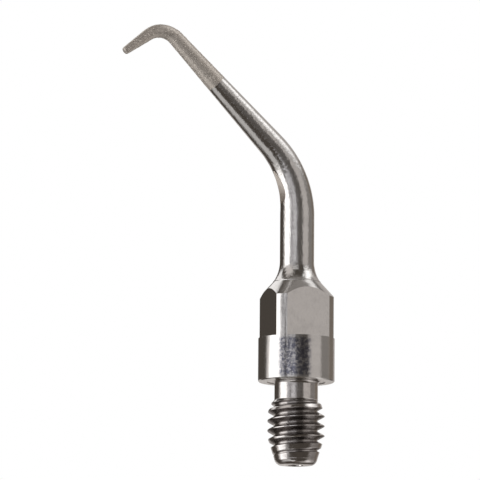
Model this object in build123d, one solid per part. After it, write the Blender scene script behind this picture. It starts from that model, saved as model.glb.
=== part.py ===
from build123d import *
import os
from math import cos, radians, sin

os.makedirs("parts", exist_ok=True)

# Screw-in tip of an ultrasonic scaler, in millimetres.
# The origin is the centre of the seat face, where the tip stops against the handpiece.
# +Z runs up the tip's axis towards the working end, and the shank bends towards -X.

# --- threaded stud, below the seat ---
thread_major_r = 1.75          # M3.5
thread_pitch = 0.60
thread_root_r = 1.30
crest_flat = 0.06              # width of a crest
root_land = 0.04               # width of the groove's floor
thread_top_z = -1.12           # first trace of the thread under the neck
first_crest_r = 1.50           # the top turn starts at about half its depth
first_crest_z = -1.30
thread_full_top_z = -1.95      # full crests from here ...
thread_full_low_z = -3.35      # ... down to here
thread_low_z = -4.75           # and none below here
groove_over = 0.02             # how far the thread cutter stands out past the crests
groove_start_z = -5.36         # the groove runs in below the nose and out into the neck
groove_turns = 7
neck_r = 1.325
seat_fillet = 0.24
shoulder_r = neck_r + seat_fillet
nose_shoulder_z = -4.76
nose_r = 1.05
nose_z = -5.07
nose_dome = 0.06
nose_corner = (1.23, -4.92)    # on the rounded edge of the nose

# --- wrench hub ---
collar_r = 2.33
collar_h = 2.65
collar_edge = 0.06             # chamfer round the seat face
flat_count = 4
across_flats = 3.76
cone_foot_z = 5.16             # where the cone leaves the collar's radius
cone_top_z = 6.11
land_r = 1.46                  # top of the cone, and foot of the shank

# --- joints between stud, hub and shank ---
stud_spigot_r = 1.80           # wider than the thread, so the hub's ring clears the handpiece's threaded hole
stud_spigot_h = 1.80
stud_setback = 0.03            # the stud's shoulder stays this far behind the seat face
neck_top_z = stud_setback - seat_fillet
shank_spigot_r = 1.00
shank_spigot_z = 3.00

# --- shank ---
land_h = 0.04
flare_foot_r = 1.43
flare_h = 1.26
rod_r = 1.045
bend_z = 10.42                 # the straight rod ends here
bend_radius = 5.75
bend_angle = 45.8
arm_length = 8.75
hook_radius = 1.41
hook_angle = 80.9
hook_length = 1.93
arm_foot_r = 0.815             # rod radius where the main bend ends
arm_top_r = 0.47               # ... where the hook's bend starts
hook_root_r = 0.37             # ... where the hook's bend ends
hook_end_r = 0.235
hook_end_round = 0.12

# --- diamond coating ---
coat = 0.06
coat_start = 5.05              # distance up the arm from the end of the main bend

# --- coolant passage ---
bore_r = 0.45
bore_top_z = 10.45
outlet_r = 0.47
outlet_lean = 42.0             # from the tip's axis towards the working end
outlet_z = 11.70               # where its axis comes through the wall
outlet_x = -1.12
outlet_reach = 5.0             # length of the drill that opens it

BIG = 20.0                     # cutters reach past everything


def disc(plane, radius):
    """A flat round face, centred on the plane's origin."""
    return plane * Circle(radius).face()


def taper(start, end, r_start, r_end):
    """A straight round bar from one point to another, of changing radius."""
    run = end - start
    return Solid.make_cone(r_start, r_end, run.length, Plane(origin=start, z_dir=run))


def bent_taper(arc, r_start, r_end, stations=9):
    """A round bar along an arc, of evenly changing radius."""
    sections = []
    for i in range(stations):
        t = i / (stations - 1)
        plane = Plane(origin=arc @ t, z_dir=arc % t)
        sections.append(disc(plane, r_start + (r_end - r_start) * t))
    return loft(sections)


# --- centre line of the shank: rod, main bend, arm, hook bend, hook ---
arm_dir = Vector(-sin(radians(bend_angle)), 0, cos(radians(bend_angle)))
hook_turn = bend_angle + hook_angle
hook_dir = Vector(-sin(radians(hook_turn)), 0, cos(radians(hook_turn)))
bend_start = Vector(0, 0, bend_z)

bend_centre = bend_start + Vector(-bend_radius, 0, 0)
bend_end = bend_centre + Vector(cos(radians(bend_angle)), 0, sin(radians(bend_angle))) * bend_radius
bend_mid = bend_centre + Vector(cos(radians(bend_angle / 2)), 0, sin(radians(bend_angle / 2))) * bend_radius
main_bend = ThreePointArc(bend_start, bend_mid, bend_end)

arm_end = bend_end + arm_dir * arm_length
hook_centre = arm_end + Vector(-arm_dir.Z, 0, arm_dir.X) * hook_radius


def hook_point(turn):
    """A point on the hook's bend, after the given turn in degrees."""
    a = radians(bend_angle + turn)
    return hook_centre + Vector(cos(a), 0, sin(a)) * hook_radius


hook_bend_end = hook_point(hook_angle)
hook_bend = ThreePointArc(arm_end, hook_point(hook_angle / 2), hook_bend_end)
hook_end = hook_bend_end + hook_dir * hook_length
coat_edge = bend_end + arm_dir * coat_start
coat_edge_r = arm_foot_r + (arm_top_r - arm_foot_r) * coat_start / arm_length


def working_end(skin):
    """The coated stretch of the arm with the hook, inset by the given skin."""
    arm = taper(coat_edge, arm_end, coat_edge_r - skin, arm_top_r - skin)
    bend = bent_taper(hook_bend, arm_top_r - skin, hook_root_r - skin)
    point = taper(hook_bend_end, hook_end - hook_dir * skin, hook_root_r - skin, hook_end_r - skin)
    rim = point.edges().sort_by(Axis(hook_bend_end, hook_dir))[-1]
    point = fillet(rim, hook_end_round - skin)
    return arm + bend + point


def turned(outline):
    """A solid turned about the tip's axis, from a closed outline of (radius, height)."""
    face = Plane.XZ * make_face(outline)
    return revolve(face, Axis.Z)


def bore(low_z, high_z, radius):
    """A round tool on the tip's axis."""
    return Pos(0, 0, low_z) * Cylinder(
        radius, high_z - low_z, align=(Align.CENTER, Align.CENTER, Align.MIN)
    )


# --- threaded stud ---
def stud_blank():
    """The stud before its thread is cut: spigot, shoulder, neck, thread envelope and domed nose."""
    return turned(
        Curve()
        + [
            Polyline(
                (0, stud_spigot_h),
                (stud_spigot_r, stud_spigot_h),
                (stud_spigot_r, stud_setback),
                (shoulder_r, stud_setback),
            ),
            RadiusArc((shoulder_r, stud_setback), (neck_r, neck_top_z), -seat_fillet),
            Polyline(
                (neck_r, neck_top_z),
                (neck_r, thread_top_z),
                (first_crest_r, first_crest_z),
                (thread_major_r, thread_full_top_z),
                (thread_major_r, thread_full_low_z),
                (thread_root_r, thread_low_z),
                (thread_root_r, nose_shoulder_z),
            ),
            ThreePointArc((thread_root_r, nose_shoulder_z), nose_corner, (nose_r, nose_z)),
            ThreePointArc((nose_r, nose_z), (nose_r / 2, nose_z - 0.75 * nose_dome), (0, nose_z - nose_dome)),
            Line((0, nose_z - nose_dome), (0, stud_spigot_h)),
        ]
    )


def groove_turn(start_z):
    """One turn of the right-hand 60 degree groove between the crests."""
    reach = thread_major_r + groove_over - thread_root_r
    half_root = root_land / 2
    half_crest = (thread_pitch - crest_flat) / 2
    half_mouth = half_root + (half_crest - half_root) * reach / (reach - groove_over)
    helix = Helix(thread_pitch, thread_pitch, thread_root_r, center=(0, 0, start_z))
    section = Polygon((0, -half_root), (reach, -half_mouth), (reach, half_mouth), (0, half_root), align=None)
    start = Plane(origin=helix @ 0, x_dir=(1, 0, 0), z_dir=helix % 0)
    return sweep(start * section, path=helix, is_frenet=True)


stud = stud_blank()
for i in range(groove_turns):
    stud -= groove_turn(groove_start_z + i * thread_pitch)
stud -= bore(-BIG, BIG, bore_r)

# --- wrench hub ---
hub_blank = turned(
    Polyline(
        (0, 0),
        (collar_r - collar_edge, 0),
        (collar_r, collar_edge),
        (collar_r, cone_foot_z),
        (land_r, cone_top_z),
        (0, cone_top_z),
        close=True,
    )
)
hub = hub_blank
for i in range(flat_count):
    cutter = Pos(across_flats / 2 + BIG / 2, 0, collar_h + BIG / 2) * Box(BIG, BIG, BIG)
    hub -= Rot(0, 0, 360 / flat_count * i) * cutter
hub -= bore(-BIG, BIG, bore_r)
hub -= bore(-BIG, stud_spigot_h, stud_spigot_r)
hub -= bore(shank_spigot_z, BIG, shank_spigot_r)

# --- curved shank ---
flare_foot_z = cone_top_z + land_h
flare_top_z = flare_foot_z + flare_h
flare_radius = (flare_h**2 + (flare_foot_r - rod_r) ** 2) / (2 * (flare_foot_r - rod_r))
foot = turned(
    Curve()
    + [
        Polyline(
            (0, shank_spigot_z),
            (shank_spigot_r, shank_spigot_z),
            (shank_spigot_r, cone_top_z),
            (land_r, cone_top_z),
            (land_r, flare_foot_z),
            (flare_foot_r, flare_foot_z),
        ),
        RadiusArc((flare_foot_r, flare_foot_z), (rod_r, flare_top_z), -flare_radius),
        Polyline((rod_r, flare_top_z), (rod_r, bend_z), (0, bend_z), (0, shank_spigot_z)),
    ]
)
shank = foot + bent_taper(main_bend, rod_r, arm_foot_r)
shank += taper(bend_end, coat_edge, arm_foot_r, coat_edge_r)
shank += working_end(coat)

outlet_dir = Vector(-sin(radians(outlet_lean)), 0, cos(radians(outlet_lean)))
outlet_mouth = Vector(outlet_x, 0, outlet_z)
outlet_root = outlet_mouth + outlet_dir * (outlet_x / sin(radians(outlet_lean)))
shank -= bore(0, bore_top_z, bore_r)
shank -= Solid.make_cylinder(outlet_r, outlet_reach, Plane(origin=outlet_root, z_dir=outlet_dir))

# --- diamond coating ---
coating = working_end(0) - working_end(coat)

pieces = {
    "threaded_stud": stud,
    "wrench_hub": hub,
    "curved_shank": shank,
    "diamond_coating": coating,
}
for name, piece in pieces.items():
    export_step(piece, f"parts/{name}.step")
    print(name, len(piece.solids()), round(piece.volume, 3), piece.is_valid)
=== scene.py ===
from math import cos, pi, radians, sin, sqrt
from random import Random
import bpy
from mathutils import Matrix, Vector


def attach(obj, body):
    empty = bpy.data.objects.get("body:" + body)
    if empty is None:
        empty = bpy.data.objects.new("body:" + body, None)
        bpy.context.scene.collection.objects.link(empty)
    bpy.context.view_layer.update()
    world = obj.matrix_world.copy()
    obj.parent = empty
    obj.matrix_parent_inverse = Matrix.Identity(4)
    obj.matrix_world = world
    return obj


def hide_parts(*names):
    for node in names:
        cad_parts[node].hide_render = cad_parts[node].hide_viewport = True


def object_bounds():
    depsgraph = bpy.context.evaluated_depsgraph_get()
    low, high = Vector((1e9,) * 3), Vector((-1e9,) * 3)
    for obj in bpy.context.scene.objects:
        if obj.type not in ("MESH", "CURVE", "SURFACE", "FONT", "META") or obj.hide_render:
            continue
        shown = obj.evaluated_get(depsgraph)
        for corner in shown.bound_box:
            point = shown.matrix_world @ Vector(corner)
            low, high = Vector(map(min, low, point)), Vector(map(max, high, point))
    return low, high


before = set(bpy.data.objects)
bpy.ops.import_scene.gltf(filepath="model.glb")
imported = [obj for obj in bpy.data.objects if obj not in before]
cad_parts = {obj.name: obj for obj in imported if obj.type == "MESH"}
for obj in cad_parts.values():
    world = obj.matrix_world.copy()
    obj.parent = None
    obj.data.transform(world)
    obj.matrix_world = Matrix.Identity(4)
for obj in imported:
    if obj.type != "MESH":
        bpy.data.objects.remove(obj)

from types import SimpleNamespace

import bmesh
import bpy
from bpy.props import FloatProperty, FloatVectorProperty, IntProperty, PointerProperty
from mathutils import Matrix, Vector, noise

bl_info = {
    "name": "Scaler Tip",
    "version": (1, 0, 0),
    "blender": (4, 5, 0),
    "location": "View3D > Sidebar > Scaler Tip",
    "description": "Builds a screw-in ultrasonic scaler tip with a diamond-coated hook",
    "category": "Object",
}

CAD_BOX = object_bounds()
MM = 0.001          # a millimetre in metres; shapes are worked out in millimetres
MERGE_GAP = 1e-5    # millimetres; points closer than this become one
SAME_PLACE = 1e-4   # millimetres; closer than this counts as on a plane


# ------------------------------------------------------------------ settings
def length_setting(name, description, default, precision=5):
    """A length, in metres."""
    return FloatProperty(name=name, description=description, default=default, unit="LENGTH", precision=precision)


def angle_setting(name, description, degrees):
    """An angle, with its default in degrees."""
    return FloatProperty(name=name, description=description, default=radians(degrees), subtype="ANGLE")


class StudSizes(bpy.types.PropertyGroup):
    """The threaded end, below the seat face."""

    major_radius: length_setting("Major radius", "Radius over the full crests", 0.00175)
    root_radius: length_setting("Root radius", "Radius of the groove's floor", 0.0013)
    pitch: length_setting("Pitch", "Rise of one turn", 0.0006)
    crest_flat: length_setting("Crest flat", "Width of a crest", 0.00006)
    root_flat: length_setting("Root flat", "Width of the groove's floor", 0.00004)
    neck_radius: length_setting("Neck radius", "Plain neck over the thread", 0.001325, precision=6)
    fillet: length_setting("Fillet", "Radius between neck and shoulder", 0.00024)
    setback: length_setting("Setback", "Shoulder behind the seat face", 0.00003)
    spigot_radius: length_setting("Spigot radius", "Stud inside the hub", 0.0018)
    spigot_height: length_setting("Spigot height", "Stud inside the hub", 0.0018)


class HubSizes(bpy.types.PropertyGroup):
    """The collar, the wrench flats and the cone."""

    collar_radius: length_setting("Collar radius", "Collar and flats' corners", 0.00233)
    collar_height: length_setting("Collar height", "Foot of the wrench flats", 0.00265)
    across_flats: length_setting("Across flats", "Between opposite flats", 0.00376)
    flat_count: IntProperty(name="Flats", description="Number of wrench flats", default=4, min=2, max=8)
    cone_foot: length_setting("Cone foot", "Height where the cone starts", 0.00516)
    cone_top: length_setting("Cone top", "Height of its upper end", 0.00611)
    land_radius: length_setting("Land radius", "Top of the cone", 0.00146)
    seat_chamfer: length_setting("Seat chamfer", "Chamfer round the seat face", 0.00006)
    edge_break: length_setting("Edge break", "Rounding of the milled edges", 0.00005, precision=6)


class ShankSizes(bpy.types.PropertyGroup):
    """The rod, its two bends and the coolant passage."""

    rod_radius: length_setting("Rod radius", "Straight rod", 0.001045, precision=6)
    flare_radius: length_setting("Flare radius", "Foot of the flare", 0.00143)
    flare_height: length_setting("Flare height", "Flare over the land", 0.00126)
    land_height: length_setting("Land height", "Step on the cone", 0.00004)
    bend_height: length_setting("Bend height", "Where the main bend starts", 0.01042)
    bend_radius: length_setting("Bend radius", "Main bend", 0.00575)
    bend_angle: angle_setting("Bend angle", "Main bend", 45.8)
    arm_length: length_setting("Arm length", "Between the bends", 0.00875)
    hook_bend_radius: length_setting("Hook bend radius", "Second bend", 0.00141)
    hook_angle: angle_setting("Hook angle", "Second bend", 80.9)
    hook_length: length_setting("Hook length", "Straight point", 0.00193)
    arm_foot: length_setting("Arm foot radius", "End of the main bend", 0.000815, precision=6)
    arm_top: length_setting("Arm top radius", "Start of the hook's bend", 0.00047)
    hook_root: length_setting("Hook root radius", "End of the hook's bend", 0.00037)
    hook_end: length_setting("Hook end radius", "At the point", 0.000235, precision=6)
    bore_radius: length_setting("Bore radius", "Coolant passage", 0.00045)
    bore_top: length_setting("Bore top", "End of the straight passage", 0.01045)
    outlet_radius: length_setting("Outlet radius", "Coolant outlet", 0.00047)
    outlet_lean: angle_setting("Outlet lean", "From the rod's axis", 42)
    outlet_height: length_setting("Outlet height", "Where the outlet leaves", 0.0117)
    outlet_offset: length_setting("Outlet offset", "From the rod's axis", 0.00112)


class CoatSizes(bpy.types.PropertyGroup):
    """The bond and the diamonds in it."""

    thickness: length_setting("Thickness", "Nickel bond", 0.00006)
    start: length_setting("Start", "From the main bend's end", 0.00505)
    end_round: length_setting("End rounding", "At the point", 0.00012)
    grain_radius: length_setting("Grain radius", "A diamond's usual radius", 0.000065, precision=6)
    grain_count: IntProperty(name="Grains", description="Number of diamonds", default=900, min=0, max=8000)
    lumpiness: length_setting("Lumpiness", "Height of the bond's lumps", 0.000009, precision=6)
    seed: IntProperty(name="Seed", description="Places the diamonds", default=7)


class Finishes(bpy.types.PropertyGroup):
    """Colours and roughness of the surfaces."""

    steel: FloatVectorProperty(
        name="Polished steel", description="Hub and shank", subtype="COLOR", default=(0.57, 0.56, 0.55)
    )
    steel_roughness: FloatProperty(
        name="Polish", description="Roughness of hub and shank", default=0.13, subtype="FACTOR", min=0, max=1
    )
    turned: FloatVectorProperty(
        name="Turned steel", description="Threaded stud", subtype="COLOR", default=(0.57, 0.55, 0.54)
    )
    bond: FloatVectorProperty(
        name="Nickel bond", description="Between the diamonds", subtype="COLOR", default=(0.66, 0.61, 0.555)
    )
    diamond: FloatVectorProperty(
        name="Diamond", description="Single grains", subtype="COLOR", default=(0.70, 0.65, 0.59)
    )


class StageSettings(bpy.types.PropertyGroup):
    """Camera, floor and light."""

    azimuth: angle_setting("Azimuth", "Camera's heading", -21.5)
    elevation: angle_setting("Elevation", "Camera's height angle", -8.3)
    roll: FloatProperty(name="Roll", description="Lean of the tip in the view", default=0.0073, subtype="ANGLE")
    distance: length_setting("Distance", "Camera to tip", 0.35, precision=2)
    lens: FloatProperty(name="Lens", description="Focal length in millimetres", default=431.8, unit="CAMERA")
    aim_right: length_setting("Aim right", "Aim beside the middle", 0.00077)
    aim_up: length_setting("Aim up", "Aim over the middle", 0.0003)
    floor_height: length_setting("Floor height", "Height of the floor", -0.45, precision=2)
    lamp_power: FloatProperty(name="Lamp power", description="Brightness of the soft boxes", default=1.0, min=0)


class TipSettings(bpy.types.PropertyGroup):
    """Everything that can be set for the tip."""

    stud: PointerProperty(type=StudSizes, name="Stud", description="Threaded stud")
    hub: PointerProperty(type=HubSizes, name="Hub", description="Wrench hub")
    shank: PointerProperty(type=ShankSizes, name="Shank", description="Curved shank")
    coat: PointerProperty(type=CoatSizes, name="Coating", description="Diamond coating")
    finish: PointerProperty(type=Finishes, name="Finishes", description="Surface finishes")
    stage: PointerProperty(type=StageSettings, name="Stage", description="Camera, floor and light")


def in_mm(group):
    """A group's settings with its lengths in millimetres."""
    sizes = {}
    for key, prop in group.bl_rna.properties.items():
        if key not in ("rna_type", "name"):
            sizes[key] = getattr(group, key) * (1000 if prop.unit == "LENGTH" else 1)
    return SimpleNamespace(**sizes)


# ------------------------------------------------------------------ modelling
def place_piece(bm, name, node, material, crease=radians(32)):
    """Turns a bmesh in millimetres into a finished piece that stands for a CAD node."""
    bmesh.ops.remove_doubles(bm, verts=bm.verts, dist=MERGE_GAP)
    bmesh.ops.recalc_face_normals(bm, faces=bm.faces)
    bmesh.ops.scale(bm, vec=(MM, MM, MM), verts=bm.verts)
    mesh = bpy.data.meshes.new(name)
    bm.to_mesh(mesh)
    bm.free()
    mesh.shade_smooth()
    mesh.set_sharp_from_angle(angle=crease)
    mesh.materials.append(material)
    piece = bpy.data.objects.new(name, mesh)
    bpy.context.scene.collection.objects.link(piece)
    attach(piece, "root")
    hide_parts(node)
    return piece


def turned(profile, steps):
    """A closed outline of (radius, height) turned about the tip's axis."""
    bm = bmesh.new()
    points = [bmesh.ops.create_vert(bm, co=(r, 0, z))["vert"][0] for r, z in profile]
    for first, second in zip(points, points[1:] + points[:1]):
        bmesh.ops.contextual_create(bm, geom=[first, second])
    bmesh.ops.spin(
        bm, geom=bm.verts[:] + bm.edges[:], cent=(0, 0, 0), axis=(0, 0, 1), angle=2 * pi, steps=steps, use_merge=True
    )
    bmesh.ops.recalc_face_normals(bm, faces=bm.faces)
    return bm


def break_edges(bm, width, segments, chosen, sharper_than=radians(20)):
    """Rounds the sharp edges whose middle is chosen."""
    sharp = [e for e in bm.edges if len(e.link_faces) == 2 and e.calc_face_angle() > sharper_than]
    edges = [e for e in sharp if chosen((e.verts[0].co + e.verts[1].co) / 2)]
    bmesh.ops.bevel(
        bm,
        geom=edges,
        offset=width,
        offset_type="OFFSET",
        segments=segments,
        profile=0.5,
        affect="EDGES",
        material=-1,
        clamp_overlap=True,
    )


def open_rim(bm, test):
    """The open edges whose middle passes a test."""
    return [e for e in bm.edges if e.is_boundary and test((e.verts[0].co + e.verts[1].co) / 2)]


def draw_on(bm, rim, move):
    """Extrudes an open rim, moves the new rim with a matrix and returns it."""
    made = bmesh.ops.extrude_edge_only(bm, edges=rim)["geom"]
    bmesh.ops.transform(bm, matrix=move, verts=[v for v in made if isinstance(v, bmesh.types.BMVert)])
    return [e for e in made if isinstance(e, bmesh.types.BMEdge) and e.is_boundary]


def draw_turned(bm, rim, profile):
    """Carries a level round rim on through rings of (radius, height)."""
    r, z = profile[0]
    for next_r, next_z in profile[1:]:
        grow = next_r / r
        move = Matrix.Translation((0, 0, next_z)) @ Matrix.Diagonal((grow, grow, 1, 1)) @ Matrix.Translation((0, 0, -z))
        rim = draw_on(bm, rim, move)
        r, z = next_r, next_z
    return rim


def quarter_turns(steps):
    """Angles from 0 to a quarter turn."""
    return [pi / 2 * i / steps for i in range(steps + 1)]


def between(points, x):
    """The value at x on a line through (x, value) points."""
    for (x0, y0), (x1, y1) in zip(points, points[1:]):
        if x <= x1:
            return y0 + (y1 - y0) * max(0.0, x - x0) / (x1 - x0)
    return points[-1][1]


def loose_object(bm, name):
    """Turns a bmesh into an object for a cut."""
    mesh = bpy.data.meshes.new(name)
    bm.to_mesh(mesh)
    bm.free()
    made = bpy.data.objects.new(name, mesh)
    bpy.context.scene.collection.objects.link(made)
    return made


def cut_with(bm, tools):
    """Takes round drills, each (radius, start, end), out of a closed shape."""
    blank = loose_object(bm, "blank")
    drills = []
    for radius, start, end in tools:
        reach = end - start
        drill = bmesh.new()
        turn = reach.to_track_quat("Z", "Y").to_matrix().to_4x4()
        bmesh.ops.create_cone(
            drill,
            cap_ends=True,
            segments=64,
            radius1=radius,
            radius2=radius,
            depth=reach.length,
            matrix=Matrix.Translation((start + end) / 2) @ turn,
        )
        drills.append(loose_object(drill, "drill"))
        cut = blank.modifiers.new("drill", "BOOLEAN")
        cut.operation, cut.solver, cut.object = "DIFFERENCE", "EXACT", drills[-1]
    bpy.context.view_layer.update()
    drilled = blank.evaluated_get(bpy.context.evaluated_depsgraph_get()).to_mesh()
    made = bmesh.new()
    made.from_mesh(drilled)
    for spare in [blank, *drills]:
        spare_mesh = spare.data
        bpy.data.objects.remove(spare)
        bpy.data.meshes.remove(spare_mesh)
    return made


# ------------------------------------------------------------------ the shank's line
def along(shank, distance):
    """Centre and turn of the shank's line, at a distance from the seat."""
    runs = (
        (shank.bend_height, 0),
        (shank.bend_radius * shank.bend_angle, shank.bend_radius),
        (shank.arm_length, 0),
        (shank.hook_bend_radius * shank.hook_angle, shank.hook_bend_radius),
        (shank.hook_length, 0),
    )
    centre, turn = Vector((0, 0, 0)), 0.0
    for length, bend in runs:
        step = min(distance, length)
        if bend:
            middle = centre - Vector((cos(turn), 0, sin(turn))) * bend
            turn += step / bend
            centre = middle + Vector((cos(turn), 0, sin(turn))) * bend
        else:
            centre = centre + Vector((-sin(turn), 0, cos(turn))) * step
        distance -= step
    return centre, turn


def girths(shank):
    """(distance, radius) where the shank's taper changes, from the main bend on."""
    bend_end = shank.bend_height + shank.bend_radius * shank.bend_angle
    arm_end = bend_end + shank.arm_length
    hook_start = arm_end + shank.hook_bend_radius * shank.hook_angle
    return [
        (shank.bend_height, shank.rod_radius),
        (bend_end, shank.arm_foot),
        (arm_end, shank.arm_top),
        (hook_start, shank.hook_root),
        (hook_start + shank.hook_length, shank.hook_end),
    ]


def ring_at(shank, distance, radius):
    """The matrix that puts a unit ring square on the shank's line."""
    centre, turn = along(shank, distance)
    return Matrix.Translation(centre) @ Matrix.Rotation(-turn, 4, "Y") @ Matrix.Diagonal((radius, radius, radius, 1))


def sweep(shank, stations, segments):
    """A closed bar through (distance, radius) rings on the shank's line."""
    bm = bmesh.new()
    here = ring_at(shank, *stations[0])
    bmesh.ops.create_circle(bm, segments=segments, radius=1, cap_ends=False, matrix=here)
    rim = bm.edges[:]
    for station in stations[1:]:
        following = ring_at(shank, *station)
        rim = draw_on(bm, rim, following @ here.inverted())
        here = following
    bmesh.ops.edgeloop_fill(bm, edges=rim)
    bmesh.ops.edgeloop_fill(bm, edges=[e for e in bm.edges if e.is_boundary])
    bmesh.ops.recalc_face_normals(bm, faces=bm.faces)
    return bm


def spaced(start, end, step):
    """Evenly spaced distances from start to end."""
    count = max(1, round((end - start) / step))
    return [start + (end - start) * i / count for i in range(count + 1)]


def rounded_end(shank, skin, end_round, steps=6):
    """(distance, radius) rings round the point's end, inset by a skin."""
    end = girths(shank)[-1][0] - skin
    radius = shank.hook_end - skin
    least_round = 0.02
    bend = max(end_round - skin, least_round)
    return [(end - bend + bend * sin(t), radius - bend + bend * cos(t)) for t in quarter_turns(steps)]


# ------------------------------------------------------------------ shader maths
class Socket:
    """A shader's value that takes part in arithmetic."""

    def __init__(self, shader, socket):
        self.shader, self.socket = shader, socket

    def maths(self, operation, first, second):
        return self.shader.node("ShaderNodeMath", {"operation": operation}, {0: first, 1: second})

    def __add__(self, other):
        return self.maths("ADD", self, other)

    def __sub__(self, other):
        return self.maths("SUBTRACT", self, other)

    def __rsub__(self, other):
        return self.maths("SUBTRACT", other, self)

    def __mul__(self, other):
        return self.maths("MULTIPLY", self, other)

    __radd__, __rmul__ = __add__, __mul__


class Shader:
    """Builds one node tree."""

    def __init__(self, tree):
        self.tree = tree
        tree.nodes.clear()

    def node(self, kind, settings, sockets, output=0):
        """Adds a node: first its settings, then the values or links of its sockets."""
        made = self.tree.nodes.new(kind)
        for name, value in settings.items():
            setattr(made, name, value)
        for key, value in sockets.items():
            if isinstance(value, Socket):
                self.tree.links.new(value.socket, made.inputs[key])
            else:
                made.inputs[key].default_value = value
        return Socket(self, made.outputs[output]) if made.outputs else None

    def ramp(self, value, low, high, start=0.0, end=1.0):
        """Eases from start to end while value goes from low to high."""
        return self.node(
            "ShaderNodeMapRange",
            {"interpolation_type": "SMOOTHSTEP"},
            {0: value, 1: low, 2: high, 3: start, 4: end},
        )

    def pattern(self, place, scale, detail=2.0, roughness=0.5):
        """Noise from 0 to 1, with about this many lumps to a unit of the place."""
        return self.node(
            "ShaderNodeTexNoise", {}, {"Vector": place, "Scale": scale, "Detail": detail, "Roughness": roughness}
        )

    def mix(self, share, first, second):
        """Blends two colours."""
        return self.node("ShaderNodeMix", {"data_type": "RGBA"}, {0: share, 6: first, 7: second}, output=2)

    def attribute(self, name):
        """A number stored on the mesh."""
        return self.node("ShaderNodeAttribute", {"attribute_name": name}, {}, output=2)


def new_material(name):
    """A material, its shader and its place in millimetres."""
    material = bpy.data.materials.new(name)
    material.use_nodes = True
    shader = Shader(material.node_tree)
    object_place = shader.node("ShaderNodeTexCoord", {}, {}, output=3)
    place = shader.node("ShaderNodeVectorMath", {"operation": "SCALE"}, {0: object_place, "Scale": 1 / MM})
    return material, shader, place


def split(shader, vector):
    """A vector's three parts."""
    first = shader.node("ShaderNodeSeparateXYZ", {}, {0: vector})
    return [Socket(shader, output) for output in first.socket.node.outputs]


def stretched(shader, place, x, y, z):
    """The place stretched along the axes, for drawn-out patterns."""
    return shader.node("ShaderNodeVectorMath", {"operation": "MULTIPLY"}, {0: place, 1: (x, y, z)})


def finish_surface(shader, colour, roughness, metallic, relief, depth):
    """The surface: colour, roughness and a relief of the given depth in millimetres."""
    bump = shader.node("ShaderNodeBump", {}, {"Strength": 1.0, "Distance": depth / 1000, "Height": relief})
    sockets = {"Base Color": colour, "Roughness": roughness, "Metallic": metallic, "Normal": bump}
    surface = shader.node("ShaderNodeBsdfPrincipled", {}, sockets)
    shader.node("ShaderNodeOutputMaterial", {}, {"Surface": surface})


def shade(colour, factor):
    """A colour made darker or lighter."""
    return (*(c * factor for c in colour), 1)


# A dark bluish reflection painted on the collar's camera-facing side, under the gap between two flats, in millimetres
REFLECTION_SIDE = (-0.415, -0.91)    # the way it faces, as (x, y)
REFLECTION_REACH = (2.06, 2.20)      # how far out that way it begins, and is full
REFLECTION_MARGIN = (0.02, 0.30)     # from the collar's edges to where it begins, and is full
REFLECTION_COLOUR = (0.11, 0.115, 0.16, 1)
PASSAGE_COLOUR = (0.60, 0.55, 0.50, 1)
# painted shade for the thread's groove floors and the flanks that face the nose
FLANK_SHADE_COLOUR = (0.05, 0.035, 0.03, 1)


def collar_painted_reflection(shader, place, collar_height):
    """Where the dark reflection is painted on the collar, broken up by a mottle."""
    across, back, height = split(shader, place)
    margin, full = REFLECTION_MARGIN
    dark_reflection = shader.ramp(across * REFLECTION_SIDE[0] + back * REFLECTION_SIDE[1], *REFLECTION_REACH)
    dark_reflection = dark_reflection * shader.ramp(height, collar_height - margin, collar_height - full)
    dark_reflection = dark_reflection * shader.ramp(height, margin, full)
    mottle = shader.ramp(shader.pattern(place, 4.6, 3.0, 0.65), 0.36, 0.62, 0.25, 1.0)
    return mottle * dark_reflection * 0.9


def polished_steel(name, finish, relief_height, collar_height=0.0):
    """Polished stainless steel with fine pits, a slightly uneven polish and a dark reflection painted on the collar."""
    material, shader, place = new_material(name)
    waves = shader.pattern(place, 2.2, 2.0, 0.55)
    grain = shader.pattern(place, 6.0, 2.0, 0.55)
    fine = shader.pattern(place, 26.0, 1.0)
    hairs = shader.pattern(stretched(shader, place, 30, 30, 2), 1.0, 2.0, 0.6)
    stain = shader.ramp(shader.pattern(place, 1.3, 4.0, 0.65), 0.42, 0.72)
    colour = shader.mix(stain, shade(finish.steel, 1.01), shade(finish.steel, 0.95))
    colour = shader.mix(shader.ramp(fine, 0.66, 0.74) * 0.4, colour, shade(finish.steel, 0.5))
    # painted reflection: a dark bluish patch on the side of the collar that faces the camera
    colour = shader.mix(collar_painted_reflection(shader, place, collar_height), colour, REFLECTION_COLOUR)
    bored = shader.attribute("bored")
    colour = shader.mix(bored, colour, PASSAGE_COLOUR)
    roughness = finish.steel_roughness + grain * 0.08 - 0.04 + hairs * 0.05 + stain * 0.03 + bored * 0.4
    relief = waves * 0.35 + grain * relief_height + hairs * 0.08
    finish_surface(shader, colour, roughness, 1.0 - bored * 0.5, relief, depth=0.012)
    return material


def turned_steel(name, finish):
    """Stainless steel as the lathe left it."""
    material, shader, place = new_material(name)
    grain = shader.pattern(place, 8.5, 2.0, 0.5)
    rings = shader.pattern(stretched(shader, place, 1.5, 1.5, 30), 1.0, 2.0, 0.6)
    blotch = shader.ramp(shader.pattern(place, 2.4, 4.0, 0.6), 0.4, 0.7)
    colour = shader.mix(blotch, shade(finish.turned, 1.0), shade(finish.turned, 0.85))
    # painted shade: the thread's groove floors and nose-facing flanks are darkened to near black
    grime = shader.attribute("grime")
    colour = shader.mix(grime * (1.0 - blotch * 0.35) * 0.85, colour, FLANK_SHADE_COLOUR)
    roughness = 0.10 + grain * 0.08 + rings * 0.05 + grime * 0.1
    relief = grain * 0.5 + rings * 0.15
    finish_surface(shader, colour, roughness, 1.0, relief, depth=0.010)
    return material


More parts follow.
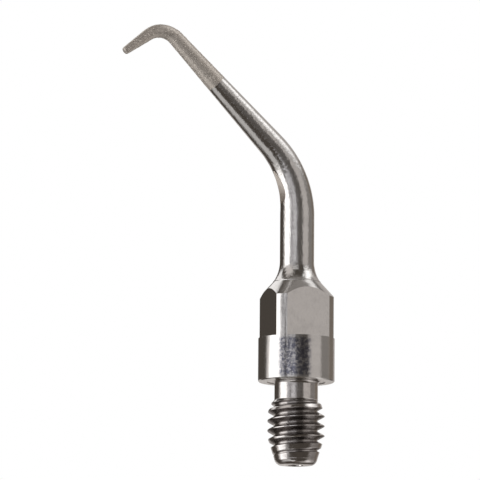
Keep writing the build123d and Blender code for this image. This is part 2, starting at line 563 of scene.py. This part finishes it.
def nickel_bond(name, finish):
    """Satin electroplated nickel, lumpy over the buried grains."""
    material, shader, place = new_material(name)
    grit = shader.pattern(place, 10.0, 2.0, 0.6)
    blotch = shader.pattern(place, 3.2, 3.0, 0.6)
    colour = shader.mix(shader.ramp(blotch, 0.35, 0.7), shade(finish.bond, 1.06), shade(finish.bond, 0.86))
    colour = shader.mix(shader.ramp(grit, 0.3, 0.5) * 0.4, shade(finish.bond, 0.7), colour)
    finish_surface(shader, colour, 0.34 + grit * 0.16, 0.72, grit, depth=0.019)
    return material


def diamond_grains(name, finish):
    """Small blocky diamonds, most of each sunk in the nickel."""
    material, shader, place = new_material(name)
    tone = shader.pattern(place, 9.0, 2.0)
    colour = shader.mix(shader.ramp(tone, 0.35, 0.65), shade(finish.diamond, 0.9), shade(finish.diamond, 1.12))
    finish_surface(shader, colour, 0.36 + tone * 0.1, 0.68, tone, depth=0.001)
    return material


# ------------------------------------------------------------------ pieces
class SCALER_OT_stud(bpy.types.Operator):
    """Build the threaded stud with its neck, nose and bore"""

    bl_idname = "scaler_tip.stud"
    bl_label = "Threaded stud"

    # how far out the crests reach, as (height, radius) from the nose up: they run out at both ends
    envelope = ((-4.75, 1.30), (-3.35, 1.75), (-1.95, 1.75), (-1.30, 1.50), (-1.12, 1.325))
    groove_phase = -5.36    # height of the groove's floor, as it would start on the +X side
    thread_top, thread_foot, mid_thread = -1.04, -4.75, -2
    rounding = 0.06         # share of a flank's height that is rounded at crest and root
    grime_onset, grime_end = 0.08, 0.03     # heights over which the painted shade sets in at the root and ends at the crest
    groove_depth = 0.01     # the painted shade needs a groove at least this deep
    steps, turns, rows_per_turn, fillet_steps = 144, 9, 20, 8
    foot_land = 0.02        # plain stretch between thread and nose
    # the nose, as (radius, height): a round, then a shallow dome up to the passage's mouth
    round_centre, round_radius = (0.865, -4.665), 0.445
    round_turns = (12, 20, 28, 36, 44, 52, 59, 65.5)
    dome = ((0.85, -5.091), (0.65, -5.107), (0.49, -5.115))
    mouth_width, mouth_rim, mouth_edge = 0.01, -5.105, -5.08

    def radius_in_groove(self, stud, height):
        """The 60 degree groove, with its crest and root slightly rounded."""
        off = abs((height + stud.pitch / 2) % stud.pitch - stud.pitch / 2)
        low, high = stud.root_flat / 2, (stud.pitch - stud.crest_flat) / 2
        share = min(1.0, max(0.0, (off - low) / (high - low)))
        soft = self.rounding
        if share < soft:
            share = share * share / (2 * soft) + soft / 2
        elif share > 1 - soft:
            share = 1 - soft / 2 - (1 - share) ** 2 / (2 * soft)
        return stud.root_radius + (stud.major_radius - stud.root_radius) * share

    def faces_nose(self, stud, height):
        """How far a place in the groove lies on the flank that faces the nose: the share of painted shade there."""
        phase = (height + stud.pitch / 2) % stud.pitch - stud.pitch / 2
        onset = min(1.0, max(0.0, phase / self.grime_onset))
        return onset * min(1.0, (stud.pitch / 2 - phase) / self.grime_end)

    def execute(self, context):
        settings = context.scene.scaler_tip
        stud, shank = in_mm(settings.stud), in_mm(settings.shank)
        bm = bmesh.new()
        # one upright column, wound up like a spring so that its rows follow the thread
        low = self.groove_phase - stud.pitch
        foot = bmesh.ops.create_vert(bm, co=(stud.root_radius, 0, low))["vert"][0]
        top = bmesh.ops.create_vert(bm, co=(stud.root_radius, 0, low + self.turns * stud.pitch))["vert"][0]
        bmesh.ops.contextual_create(bm, geom=[foot, top])
        bmesh.ops.subdivide_edges(bm, edges=bm.edges[:], cuts=self.turns * self.rows_per_turn - 1)
        bmesh.ops.spin(
            bm,
            geom=bm.verts[:] + bm.edges[:],
            cent=(0, 0, 0),
            axis=(0, 0, 1),
            dvec=(0, 0, stud.pitch / self.steps),
            angle=2 * pi,
            steps=self.steps,
        )
        bmesh.ops.remove_doubles(bm, verts=bm.verts, dist=SAME_PLACE)
        for height, outward in ((self.thread_top, 1), (self.thread_foot, -1)):
            bmesh.ops.bisect_plane(
                bm,
                geom=bm.verts[:] + bm.edges[:] + bm.faces[:],
                dist=MERGE_GAP,
                plane_co=(0, 0, height),
                plane_no=(0, 0, outward),
                clear_outer=True,
            )
        grime = bm.verts.layers.float.new("grime")
        for v in bm.verts:
            turn = Vector((v.co.x, v.co.y)).angle_signed(Vector((1, 0)))
            rise = v.co.z - self.groove_phase - stud.pitch * turn / (2 * pi)
            groove = self.radius_in_groove(stud, rise)
            limit = between(self.envelope, v.co.z)
            # painted shade: the groove floor and the flank facing the nose, where the groove is deep enough
            v[grime] = self.faces_nose(stud, rise) if groove < limit - self.groove_depth else 0.0
            radius = limit if v.co.z > self.envelope[-1][0] else min(groove, limit)
            flat = Vector((v.co.x, v.co.y, 0)).normalized() * radius
            v.co = (flat.x, flat.y, v.co.z)
        neck_top = stud.setback - stud.fillet
        shoulder = stud.neck_radius + stud.fillet
        fillet = [
            (shoulder - stud.fillet * cos(t), neck_top + stud.fillet * sin(t))
            for t in quarter_turns(self.fillet_steps)[1:]
        ]
        upper = draw_turned(
            bm,
            open_rim(bm, lambda at: at.z > self.mid_thread),
            [
                (stud.neck_radius, self.thread_top),
                (stud.neck_radius, neck_top),
                *fillet,
                (stud.spigot_radius, stud.setback),
                (stud.spigot_radius, stud.spigot_height),
                (shank.bore_radius, stud.spigot_height),
            ],
        )
        (centre_r, centre_z), bend = self.round_centre, self.round_radius
        nose_round = [(centre_r + bend * cos(radians(t)), centre_z - bend * sin(radians(t))) for t in self.round_turns]
        lower = draw_turned(
            bm,
            open_rim(bm, lambda at: at.z < self.mid_thread),
            [
                (stud.root_radius, self.thread_foot),
                (stud.root_radius, self.thread_foot + self.foot_land),
                *nose_round,
                *self.dome,
                (shank.bore_radius + self.mouth_width, self.mouth_rim),
                (shank.bore_radius, self.mouth_edge),
            ],
        )
        bmesh.ops.bridge_loops(bm, edges=upper + lower)
        material = turned_steel("turned_steel", settings.finish)
        place_piece(bm, "stud_steel", "threaded_stud", material, crease=radians(50))
        return {"FINISHED"}


class SCALER_OT_hub(bpy.types.Operator):
    """Build the collar with its wrench flats and cone"""

    bl_idname = "scaler_tip.hub"
    bl_label = "Wrench hub"

    steps = 240
    socket_radius, socket_floor = 1.0, 3.0
    side_reach = 1.2    # faces further out than this may meet the flat on their side
    broken_out, broken_up = 1.6, 0.5    # only edges further out and higher than this are broken

    def mill_flat(self, bm, hub, turn):
        """Cuts one flat over the collar and closes the cut with the flat and its ledge."""
        low, half = hub.collar_height, hub.across_flats / 2
        normal = Vector((cos(turn), sin(turn), 0))

        def past(distance):
            centres = [(f, f.calc_center_median()) for f in bm.faces]
            return [f for f, centre in centres if centre.z > low and centre.dot(normal) > distance]

        def on_flat(v):
            return abs(v.co.dot(normal) - half) < SAME_PLACE

        def on_ledge(v):
            return abs(v.co.z - low) < SAME_PLACE

        outer = past(self.side_reach)
        geom = list(dict.fromkeys(part for f in outer for part in (*f.verts, *f.edges))) + outer
        bmesh.ops.bisect_plane(bm, geom=geom, dist=MERGE_GAP, plane_co=normal * half, plane_no=normal)
        bmesh.ops.delete(bm, geom=past(half + SAME_PLACE), context="FACES")
        rim = [e for e in bm.edges if e.is_boundary]
        corners = [v for v in dict.fromkeys(v for e in rim for v in e.verts) if on_ledge(v) and on_flat(v)]
        foot = list(bmesh.ops.contextual_create(bm, geom=corners)["edges"])
        for on_side in (on_flat, on_ledge):
            side = [e for e in rim if on_side(e.verts[0]) and on_side(e.verts[1])]
            bmesh.ops.edgeloop_fill(bm, edges=side + foot)

    def execute(self, context):
        settings = context.scene.scaler_tip
        hub, stud, shank = in_mm(settings.hub), in_mm(settings.stud), in_mm(settings.shank)
        bm = turned(
            [
                (stud.spigot_radius, 0),
                (hub.collar_radius - hub.seat_chamfer, 0),
                (hub.collar_radius, hub.seat_chamfer),
                (hub.collar_radius, hub.collar_height),
                (hub.collar_radius, hub.cone_foot),
                (hub.land_radius, hub.cone_top),
                (self.socket_radius, hub.cone_top),
                (self.socket_radius, self.socket_floor),
                (shank.bore_radius, self.socket_floor),
                (shank.bore_radius, stud.spigot_height),
                (stud.spigot_radius, stud.spigot_height),
            ],
            self.steps,
        )
        for i in range(settings.hub.flat_count):
            self.mill_flat(bm, hub, 2 * pi * i / settings.hub.flat_count)
        bmesh.ops.recalc_face_normals(bm, faces=bm.faces)
        break_edges(bm, hub.edge_break, 3, lambda at: at.xy.length > self.broken_out and at.z > self.broken_up)
        material = polished_steel("hub_polish", settings.finish, 0.35, hub.collar_height)
        piece = place_piece(bm, "hub_steel", "wrench_hub", material)
        piece.modifiers.new("even shading", "WEIGHTED_NORMAL").keep_sharp = True
        return {"FINISHED"}


class SCALER_OT_shank(bpy.types.Operator):
    """Build the shank: land, flare, rod, bends and the core under the coating"""

    bl_idname = "scaler_tip.shank"
    bl_label = "Curved shank"

    segments = 96
    straight_step, bend_step, fine_step = 0.3, 0.1, 0.08
    drill_reach = 5
    wall_gap, wall_slope = 0.01, 0.1    # how nearly a face lies on the outlet's wall
    # rounding of the step at the rod's foot, and where its edges are: height from the foot, and radius
    step_round, step_band, step_radius = 0.012, (-0.01, 0.05), 1.4

    def execute(self, context):
        settings = context.scene.scaler_tip
        shank, hub, coat = in_mm(settings.shank), in_mm(settings.hub), in_mm(settings.coat)
        foot = hub.cone_top + shank.land_height
        flare_top = foot + shank.flare_height
        spread = shank.flare_radius - shank.rod_radius
        curve = (shank.flare_height**2 + spread**2) / (2 * spread)
        flare = [
            (z, shank.rod_radius + curve - sqrt(curve**2 - (flare_top - z) ** 2))
            for z in spaced(foot, flare_top, self.fine_step)
        ]
        taper = girths(shank)
        bend_end, arm_end, hook_start = taper[1][0], taper[2][0], taper[3][0]
        coat_edge = bend_end + coat.start
        rod = spaced(flare_top, shank.bend_height, self.straight_step)[1:]
        bare = spaced(shank.bend_height, bend_end, self.bend_step)[1:]
        bare += spaced(bend_end, coat_edge, self.straight_step)[1:]
        core = spaced(coat_edge, arm_end, self.straight_step)[:-1] + spaced(arm_end, hook_start, self.fine_step)
        stations = [
            (SCALER_OT_hub.socket_floor, SCALER_OT_hub.socket_radius),
            (hub.cone_top, SCALER_OT_hub.socket_radius),
            (hub.cone_top, hub.land_radius),
            (foot, hub.land_radius),
            *flare,
            *((s, shank.rod_radius) for s in rod),
            *((s, between(taper, s)) for s in bare),
            *((s, between(taper, s) - coat.thickness) for s in core),
            *rounded_end(shank, coat.thickness, coat.end_round),
        ]
        bm = sweep(shank, stations, self.segments)
        lean = Vector((-sin(shank.outlet_lean), 0, cos(shank.outlet_lean)))
        mouth = Vector((-shank.outlet_offset, 0, shank.outlet_height))
        root = mouth - lean * (shank.outlet_offset / sin(shank.outlet_lean))
        bm = cut_with(
            bm,
            [
                (shank.bore_radius, Vector((0, 0, 0)), Vector((0, 0, shank.bore_top))),
                (shank.outlet_radius, root, root + lean * self.drill_reach),
            ],
        )
        # faces of the outlet's wall, which keeps the drill's dull finish
        bored = bm.faces.layers.float.new("bored")
        for face in bm.faces:
            off = face.calc_center_median() - root
            off -= lean * off.dot(lean)
            on_wall = abs(off.length - shank.outlet_radius) < self.wall_gap
            face[bored] = 1.0 if on_wall and abs(face.normal.dot(lean)) < self.wall_slope else 0.0
        low, high = (foot + height for height in self.step_band)
        break_edges(bm, self.step_round, 2, lambda at: low < at.z < high and at.xy.length > self.step_radius)
        material = polished_steel("shank_polish", settings.finish, 1.4)
        place_piece(bm, "shank_steel", "curved_shank", material)
        return {"FINISHED"}


class SCALER_OT_bond(bpy.types.Operator):
    """Build the nickel bond over the working end"""

    bl_idname = "scaler_tip.bond"
    bl_label = "Nickel bond"

    segments = 72
    inner_step, outer_step = 0.2, 0.055
    # the lumps' noise: (waves to a millimetre, share), and the level that stays on the surface
    lumps, surface_level = ((11, 0.6), (23, 0.4)), 0.35

    def execute(self, context):
        settings = context.scene.scaler_tip
        shank, coat = in_mm(settings.shank), in_mm(settings.coat)
        taper = girths(shank)
        edge = taper[1][0] + coat.start
        inner_end = rounded_end(shank, coat.thickness, coat.end_round)
        outer_end = rounded_end(shank, 0, coat.end_round)
        inner = spaced(edge, inner_end[0][0], self.inner_step)[:-1]
        inside = [(s, between(taper, s) - coat.thickness) for s in inner]
        outside = [(s, between(taper, s)) for s in spaced(edge, outer_end[0][0], self.outer_step)[:-1]]
        bm = sweep(shank, [*inner_end[::-1], *inside[::-1], *outside, *outer_end], self.segments)
        bmesh.ops.recalc_face_normals(bm, faces=bm.faces)
        skin = len(inner_end + inside) * self.segments
        bm.verts.ensure_lookup_table()
        # the outer wall swells a little where grains lie buried
        for v in bm.verts[skin:]:
            lump = sum(noise.noise(v.co * waves) * share for waves, share in self.lumps)
            v.co += v.normal * coat.lumpiness * (lump - self.surface_level)
        material = nickel_bond("nickel_bond", settings.finish)
        place_piece(bm, "bond_nickel", "diamond_coating", material)
        return {"FINISHED"}


class SCALER_OT_grit(bpy.types.Operator):
    """Strew diamonds over the nickel bond"""

    bl_idname = "scaler_tip.grit"
    bl_label = "Diamond grit"

    clear_edge = 0.04       # from the bond's edge to the first grain
    sunk = 0.74             # how deep a grain's centre lies, in its own radii
    sizes, widths, heights = (0.6, 1.25), (0.8, 1.2), (0.6, 1.1)
    handful_size = 100

    def execute(self, context):
        settings = context.scene.scaler_tip
        shank, coat = in_mm(settings.shank), in_mm(settings.coat)
        taper = girths(shank)
        start, end = taper[1][0] + coat.start + self.clear_edge, taper[-1][0] - coat.end_round
        dice = Random(settings.coat.seed)
        bm = bmesh.new()
        handful = bmesh.new()
        placed = 0
        while placed < settings.coat.grain_count:
            s = dice.uniform(start, end)
            girth = between(taper, s)
            if dice.random() > girth / between(taper, start):
                continue
            turn = dice.uniform(0, 2 * pi)
            size = coat.grain_radius * dice.uniform(*self.sizes)
            out = girth - size * self.sunk
            where = ring_at(shank, s, 1) @ Vector((cos(turn) * out, sin(turn) * out, 0))
            tumble = Matrix.Rotation(dice.uniform(0, 2 * pi), 4, Vector([dice.uniform(-1, 1) for _ in range(3)]))
            limits = (self.widths, self.widths, self.heights)
            shape = Matrix.Diagonal((*(dice.uniform(*limit) for limit in limits), 1))
            bmesh.ops.create_icosphere(
                handful, subdivisions=1, radius=size, matrix=Matrix.Translation(where) @ tumble @ shape
            )
            placed += 1
            # grains are made a handful at a time, because adding to a full mesh is slow
            if placed % self.handful_size == 0 or placed == settings.coat.grain_count:
                mesh = bpy.data.meshes.new("handful")
                handful.to_mesh(mesh)
                handful.clear()
                bm.from_mesh(mesh)
                bpy.data.meshes.remove(mesh)
        handful.free()
        material = diamond_grains("diamond_grains", settings.finish)
        place_piece(bm, "grit_diamond", "diamond_coating", material, crease=radians(70))
        return {"FINISHED"}


# ------------------------------------------------------------------ stage
class SCALER_OT_stage(bpy.types.Operator):
    """Set up the camera, the floor and the studio light"""

    bl_idname = "scaler_tip.stage"
    bl_label = "Stage"

    # Each lamp or card in the studio: azimuth from the camera, turning right, and elevation, in
    # degrees, the softness of its sides and of its top and foot, its brightness and its colour.
    white, warm, brown = (1.0, 0.99, 0.985), (1.0, 0.95, 0.92), (1.0, 0.84, 0.70)
    lamps = (
        ("left soft box", (-92, -51), (-26, 24), 4, 5, 2.1, white),
        ("left soft box's edge", (-104, -91), (-28, 26), 4, 5, 0.7, warm),
        ("left soft box's foot", (-98, -37), (-66, -27), 6, 6, 0.62, white),
        ("right card", (38, 80), (-10, 24), 2, 4, 0.60, warm),
        ("right side", (80, 118), (-14, 26), 4, 5, 0.22, warm),
        ("upper right soft box", (52, 112), (27, 62), 7, 5, 1.10, white),
        ("upper right lamp", (66, 102), (36, 58), 9, 7, 0.9, white),
        ("upper right wall", (112, 180), (27, 44), 7, 5, 0.50, warm),
        ("rear right top lamp", (110, 155), (52, 72), 7, 5, 1.2, white),
        ("right backdrop", (150, 180), (-16, 27), 5, 5, 0.50, warm),
        ("rear right lamp", (160, 176), (29, 42), 4, 4, 0.80, white),
        ("rear left lamp", (-173, -112), (24, 54), 6, 5, 1.25, white),
        ("rear top lamp", (-180, -171), (46, 58), 4, 4, 1.4, white),
        ("front top lamp", (-29, 9), (31, 38), 5, 3, 1.10, white),
        ("upper left wall", (-85, -30), (26, 56), 6, 6, 0.75, warm),
        ("rear left backdrop", (-180, -150), (-24, 0), 5, 4, 0.62, warm),
        ("rear right wall", (116, 150), (-12, 26), 6, 6, 0.16, brown),
        ("right floor", (74, 142), (-80, -18), 12, 10, 0.40, warm),
        ("front floor lamp", (-54, -8), (-76, -58), 8, 5, 1.0, white),
        ("left floor lamp", (-130, -98), (-56, -42), 6, 6, 0.35, white),
        ("right floor lamp", (84, 124), (-58, -38), 6, 6, 0.60, white),
        ("ceiling", (-180, 180), (66, 100), 0, 10, 0.26, warm),
    )
    # the dim light from everywhere else, a little brighter from straight below
    dim_tint, dim_from, dim_to = (0.9, 0.77, 0.65), (-70, 0.10), (-86, 0.22)
    # the cluttered room behind the camera: where each side begins and is full, in degrees
    room_left, room_right, room_foot, room_top = (-56, -48), (42, 34), (-22, -14), (29, 19)
    room_darker_right = (9, -12, 0.11, 1.0)    # to the right of these azimuths it has this share of its light
    clutter_size, clutter_contrast = 15.0, (0.42, 0.58, 0.03, 1.0)
    room_power, room_tint = 1.2, (0.96, 0.96, 1.0)
    backdrop = (1, 1, 1, 1)
    floor_radius, floor_tones, floor_glow = 1.6, (0.80, 0.84), 0.62

    def add_lamp(self, shader, light, box, power, tint):
        """Adds a lamp of the given brightness and colour to the light so far."""
        glow = tuple(power * part for part in tint)
        return shader.node("ShaderNodeVectorMath", {"operation": "MULTIPLY_ADD"}, {0: box, 1: glow, 2: light})

    def add_light(self, context, stage):
        """A studio all round the tip. What the camera sees behind the tip is plain white."""
        world = bpy.data.worlds.new("studio")
        context.scene.world = world
        world.use_nodes = True
        shader = Shader(world.node_tree)
        heading = shader.node("ShaderNodeTexCoord", {}, {}, output=0)
        turned_back = shader.node(
            "ShaderNodeVectorRotate", {"rotation_type": "Z_AXIS"}, {"Vector": heading, "Angle": -stage.azimuth}
        )
        parts = split(shader, turned_back)
        azimuth = shader.node("ShaderNodeMath", {"operation": "ARCTAN2"}, {0: parts[0], 1: 0 - parts[1]}) * (180 / pi)
        elevation = shader.node("ShaderNodeMath", {"operation": "ARCSINE"}, {0: parts[2]}) * (180 / pi)
        (high, dim), (low, brighter) = self.dim_from, self.dim_to
        base = shader.ramp(elevation, high, low, dim, brighter)
        light = shader.node("ShaderNodeVectorMath", {"operation": "SCALE"}, {0: self.dim_tint, "Scale": base})
        for _, (left, right), (low, high), side, ends, power, tint in self.lamps:
            box = shader.ramp(elevation, low - ends, low + ends)
            box = box * shader.ramp(elevation, high + ends, high - ends)
            if left > -180:
                box = box * shader.ramp(azimuth, left - side, left + side)
            if right < 180:
                box = box * shader.ramp(azimuth, right + side, right - side)
            light = self.add_lamp(shader, light, box, power, tint)
        room = shader.ramp(azimuth, *self.room_left) * shader.ramp(azimuth, *self.room_right)
        room = room * shader.ramp(azimuth, *self.room_darker_right)
        room = room * shader.ramp(elevation, *self.room_foot) * shader.ramp(elevation, *self.room_top)
        clutter = shader.ramp(shader.pattern(turned_back, self.clutter_size, 1.0), *self.clutter_contrast)
        light = self.add_lamp(shader, light, room * clutter, self.room_power, self.room_tint)
        light = shader.node("ShaderNodeVectorMath", {"operation": "SCALE"}, {0: light, "Scale": stage.lamp_power})
        seen = shader.node("ShaderNodeLightPath", {}, {}, output=0)
        behind = shader.mix(seen, light, self.backdrop)
        sky = shader.node("ShaderNodeBackground", {}, {"Color": behind, "Strength": 1.0})
        shader.node("ShaderNodeOutputWorld", {}, {"Surface": sky})

    def add_floor(self, context, stage):
        """A pale floor far below the tip."""
        bm = bmesh.new()
        place = Matrix.Translation((0, 0, stage.floor_height))
        bmesh.ops.create_circle(bm, cap_ends=True, segments=128, radius=self.floor_radius, matrix=place)
        mesh = bpy.data.meshes.new("floor")
        bm.to_mesh(mesh)
        bm.free()
        material = bpy.data.materials.new("pale_floor")
        material.use_nodes = True
        shader = Shader(material.node_tree)
        object_place = shader.node("ShaderNodeTexCoord", {}, {}, output=3)
        tone = shader.pattern(object_place, 40.0, 3.0)
        colour = shader.mix(tone, *((grey, grey, grey, 1) for grey in self.floor_tones))
        surface = shader.node(
            "ShaderNodeBsdfPrincipled",
            {},
            {
                "Base Color": colour,
                "Roughness": 0.6,
                "Emission Color": self.backdrop,
                "Emission Strength": self.floor_glow,
                "Specular IOR Level": 0.0,
            },
        )
        shader.node("ShaderNodeOutputMaterial", {}, {"Surface": surface})
        mesh.materials.append(material)
        floor = bpy.data.objects.new("floor", mesh)
        context.scene.collection.objects.link(floor)
        floor.visible_glossy = False

    def add_camera(self, context, stage):
        """The camera, a little below the tip and looking up at it."""
        a, e = stage.azimuth, stage.elevation
        back = Vector((sin(a) * cos(e), -cos(a) * cos(e), sin(e)))
        right = Vector((cos(a), sin(a), 0))
        up = back.cross(right)
        low, high = CAD_BOX
        aim = (low + high) / 2 + right * stage.aim_right + up * stage.aim_up
        x_axis = right * cos(stage.roll) + up * sin(stage.roll)
        y_axis = up * cos(stage.roll) - right * sin(stage.roll)
        data = bpy.data.cameras.new("camera")
        data.lens, data.sensor_width = stage.lens, 36
        data.clip_start, data.clip_end = 0.01, 5
        camera = bpy.data.objects.new("camera", data)
        context.scene.collection.objects.link(camera)
        turn = Matrix((x_axis, y_axis, back)).transposed().to_4x4()
        camera.matrix_world = Matrix.Translation(aim + back * stage.distance) @ turn
        context.scene.camera = camera

    def execute(self, context):
        stage = context.scene.scaler_tip.stage
        self.add_camera(context, stage)
        self.add_light(context, stage)
        self.add_floor(context, stage)
        context.scene.view_settings.view_transform = "Standard"
        return {"FINISHED"}


class SCALER_PT_panel(bpy.types.Panel):
    """Lists the tip's pieces in the sidebar"""

    bl_idname = "SCALER_PT_panel"
    bl_label = "Scaler Tip"
    bl_space_type = "VIEW_3D"
    bl_region_type = "UI"
    bl_category = "Scaler Tip"

    def draw(self, context):
        settings = context.scene.scaler_tip
        for operator, group in (
            (SCALER_OT_stud, settings.stud),
            (SCALER_OT_hub, settings.hub),
            (SCALER_OT_shank, settings.shank),
            (SCALER_OT_bond, settings.coat),
            (SCALER_OT_grit, settings.finish),
            (SCALER_OT_stage, settings.stage),
        ):
            box = self.layout.box()
            box.operator(operator.bl_idname)
            for key in group.bl_rna.properties.keys():
                if key not in ("rna_type", "name"):
                    box.prop(group, key)


CLASSES = (
    StudSizes,
    HubSizes,
    ShankSizes,
    CoatSizes,
    Finishes,
    StageSettings,
    TipSettings,
    SCALER_OT_stud,
    SCALER_OT_hub,
    SCALER_OT_shank,
    SCALER_OT_bond,
    SCALER_OT_grit,
    SCALER_OT_stage,
    SCALER_PT_panel,
)


def register():
    for cls in CLASSES:
        bpy.utils.register_class(cls)
    bpy.types.Scene.scaler_tip = PointerProperty(
        type=TipSettings, name="Scaler tip", description="Sizes and finishes of the tip"
    )


def unregister():
    del bpy.types.Scene.scaler_tip
    for cls in reversed(CLASSES):
        bpy.utils.unregister_class(cls)


def main():
    register()
    bpy.ops.scaler_tip.stage()
    bpy.ops.scaler_tip.stud()
    bpy.ops.scaler_tip.hub()
    bpy.ops.scaler_tip.shank()
    bpy.ops.scaler_tip.bond()
    bpy.ops.scaler_tip.grit()


if __name__ == "__main__":
    main()
